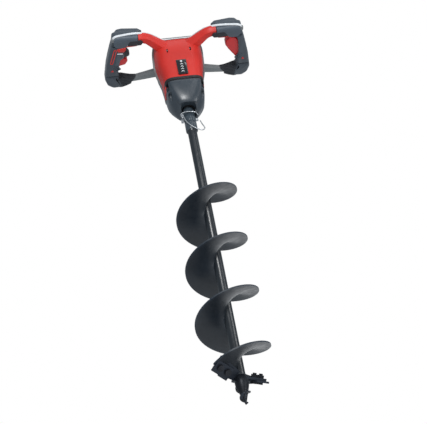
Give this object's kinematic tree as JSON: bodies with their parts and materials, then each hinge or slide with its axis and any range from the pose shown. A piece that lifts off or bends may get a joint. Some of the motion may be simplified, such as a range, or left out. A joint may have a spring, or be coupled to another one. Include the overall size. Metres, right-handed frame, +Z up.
{
  "type": "cordless earth auger",
  "caption": "Two-handed cordless earth auger: power head with D-handles, planetary gearbox and a single-flight drill with bolted blades and a pilot point.",
  "frame": {"origin": "tip of the pilot point on the drill axis", "axes": "+Z up along the drill axis, +X to the right along the handles, -Y towards the front of the power head"},
  "size_m": [0.366, 0.1772, 1.02],
  "materials": {
    "badge_black": "gloss black plate",
    "bare_aluminium": "machined",
    "bearing_steel": "ground",
    "black_rubber": "ribbed black rubber",
    "blade_steel": "blackened hard steel",
    "bolt_steel": "blackened",
    "button_black": "black",
    "contact_brass": "plated",
    "copper_wire": "enamelled",
    "dark_overmould": "soft dark blue-grey overmould",
    "drill_paint": "satin black powder coat",
    "fan_nylon": "black nylon",
    "gear_steel": "hobbed",
    "gearbox_slate": "dark slate semi-gloss paint",
    "grey_plastic": "satin moulded mid grey",
    "lamination_steel": "stacked laminations",
    "magnet_grey": "plated",
    "pin_chrome": "bright zinc",
    "pin_steel": "ground",
    "potted_board": "potted resin",
    "red_plastic": "satin moulded red",
    "screw_steel": "dark zinc",
    "seal_rubber": "nitrile",
    "silver_trim": "bright silver",
    "spindle_steel": "blackened",
    "spring_steel": "spring wire",
    "switch_black": "black",
    "terminal_black": "black",
    "trigger_red": "satin moulded red",
    "vent_black": "black"
  },
  "bodies": {
    "power_head": {"front_housing": "red_plastic", "rear_housing": "grey_plastic", "left_front_arm": "dark_overmould", "right_front_arm": "dark_overmould", "left_grip": "dark_overmould", "right_grip": "dark_overmould", "left_corner_sleeve": "black_rubber", "right_corner_sleeve": "black_rubber", "silver_trims": "silver_trim", "name_badge": "badge_black", "gearbox_bell": "gearbox_slate", "vent_ring": "vent_black", "battery_dock": "grey_plastic", "terminal_block": "terminal_black", "contact_blades": "contact_brass", "housing_screws": "screw_steel", "control_board": "potted_board", "motor_plate": "bare_aluminium", "bearing_bridge": "bare_aluminium", "motor_bearings": "bearing_steel", "stator_core": "lamination_steel", "stator_windings": "copper_wire", "ring_gear": "gear_steel", "spindle_bearing": "bearing_steel", "oil_seal": "seal_rubber", "left_trigger_spring": "spring_steel", "paddle_spring": "spring_steel", "lock_button_spring": "spring_steel", "trigger_pins": "pin_steel", "left_switch": "switch_black", "right_switch": "switch_black"},
    "drill": {"output_spindle": "spindle_steel", "second_carrier_pins": "pin_steel", "drill_tube": "drill_paint", "coupling_socket": "drill_paint", "main_flight": "drill_paint", "second_flight": "drill_paint", "cutting_blades": "blade_steel", "blade_holders": "blade_steel", "blade_bolts": "bolt_steel", "blade_nuts": "bolt_steel", "pilot_point": "drill_paint", "lock_pin": "pin_chrome"},
    "bail": {"lock_pin_bail": "pin_chrome"},
    "first_carrier": {"first_carrier": "gear_steel", "first_carrier_pins": "pin_steel"},
    "rotor": {"rotor_shaft": "gear_steel", "rotor_core": "lamination_steel", "rotor_magnets": "magnet_grey", "cooling_fan": "fan_nylon"},
    "left_trigger": {"left_trigger": "trigger_red"},
    "left_lock_button": {"left_lock_button": "button_black"},
    "right_paddle": {"right_paddle": "trigger_red"},
    "direction_switch": {"direction_switch": "button_black"},
    "first_planet_1": {"first_planet_1": "gear_steel"},
    "second_planet_1": {"second_planet_1": "gear_steel"},
    "first_planet_2": {"first_planet_2": "gear_steel"},
    "second_planet_2": {"second_planet_2": "gear_steel"},
    "first_planet_3": {"first_planet_3": "gear_steel"},
    "second_planet_3": {"second_planet_3": "gear_steel"}
  },
  "joints": [
    {"name": "drill_spin", "type": "hinge", "parent": "power_head", "child": "drill", "pos_m": [0, 0, 0.4], "axis": [0, 0, 1], "continuous": true},
    {"name": "first_carrier_spin", "type": "hinge", "parent": "power_head", "child": "first_carrier", "pos_m": [0, 0, 0.855], "axis": [0, 0, 1], "continuous": true},
    {"name": "rotor_spin", "type": "hinge", "parent": "power_head", "child": "rotor", "pos_m": [0, 0, 0.908], "axis": [0, 0, 1], "continuous": true},
    {"name": "second_planet_1_spin", "type": "hinge", "parent": "drill", "child": "second_planet_1", "pos_m": [0.0165, 0, 0.8435], "axis": [0, 0, 1], "continuous": true},
    {"name": "second_planet_2_spin", "type": "hinge", "parent": "drill", "child": "second_planet_2", "pos_m": [-0.00825, 0.01429, 0.8435], "axis": [0, 0, 1], "continuous": true},
    {"name": "second_planet_3_spin", "type": "hinge", "parent": "drill", "child": "second_planet_3", "pos_m": [-0.00825, -0.01429, 0.8435], "axis": [0, 0, 1], "continuous": true},
    {"name": "first_planet_1_spin", "type": "hinge", "parent": "first_carrier", "child": "first_planet_1", "pos_m": [0.0165, 0, 0.864], "axis": [0, 0, 1], "continuous": true},
    {"name": "first_planet_2_spin", "type": "hinge", "parent": "first_carrier", "child": "first_planet_2", "pos_m": [-0.00825, 0.01429, 0.864], "axis": [0, 0, 1], "continuous": true},
    {"name": "first_planet_3_spin", "type": "hinge", "parent": "first_carrier", "child": "first_planet_3", "pos_m": [-0.00825, -0.01429, 0.864], "axis": [0, 0, 1], "continuous": true},
    {"name": "left_trigger_pull", "type": "hinge", "parent": "power_head", "child": "left_trigger", "pos_m": [-0.154, 0.017, 0.989], "axis": [0, 0, -1], "range_deg": [0, 9], "stiffness_Nm_per_rad": 1.1, "springref_deg": -5.73},
    {"name": "right_paddle_pull", "type": "hinge", "parent": "power_head", "child": "right_paddle", "pos_m": [0.154, 0.017, 0.989], "axis": [0, 0, 1], "range_deg": [0, 8], "stiffness_Nm_per_rad": 1.4, "springref_deg": -5.73},
    {"name": "lock_button_press", "type": "slide", "parent": "power_head", "child": "left_lock_button", "axis": [-1, 0, 0], "range_m": [0, 0.005], "stiffness_N_per_m": 700, "springref_m": -0.002},
    {"name": "direction_slide", "type": "slide", "parent": "power_head", "child": "direction_switch", "axis": [1, 0, 0], "range_m": [-0.004, 0.004]},
    {"name": "bail_swing", "type": "hinge", "parent": "drill", "child": "bail", "pos_m": [-0.018, -0.0175, 0.768], "axis": [0, 1, 0], "range_deg": [0, 70]}
  ],
  "couplings": [
    {"joint": "first_carrier_spin", "follows": "drill_spin", "ratio": 5.5},
    {"joint": "rotor_spin", "follows": "drill_spin", "ratio": 30.25},
    {"joint": "second_planet_1_spin", "follows": "drill_spin", "ratio": -2.5714},
    {"joint": "second_planet_2_spin", "follows": "drill_spin", "ratio": -2.5714},
    {"joint": "second_planet_3_spin", "follows": "drill_spin", "ratio": -2.5714},
    {"joint": "first_planet_1_spin", "follows": "drill_spin", "ratio": -14.143},
    {"joint": "first_planet_2_spin", "follows": "drill_spin", "ratio": -14.143},
    {"joint": "first_planet_3_spin", "follows": "drill_spin", "ratio": -14.143}
  ]
}
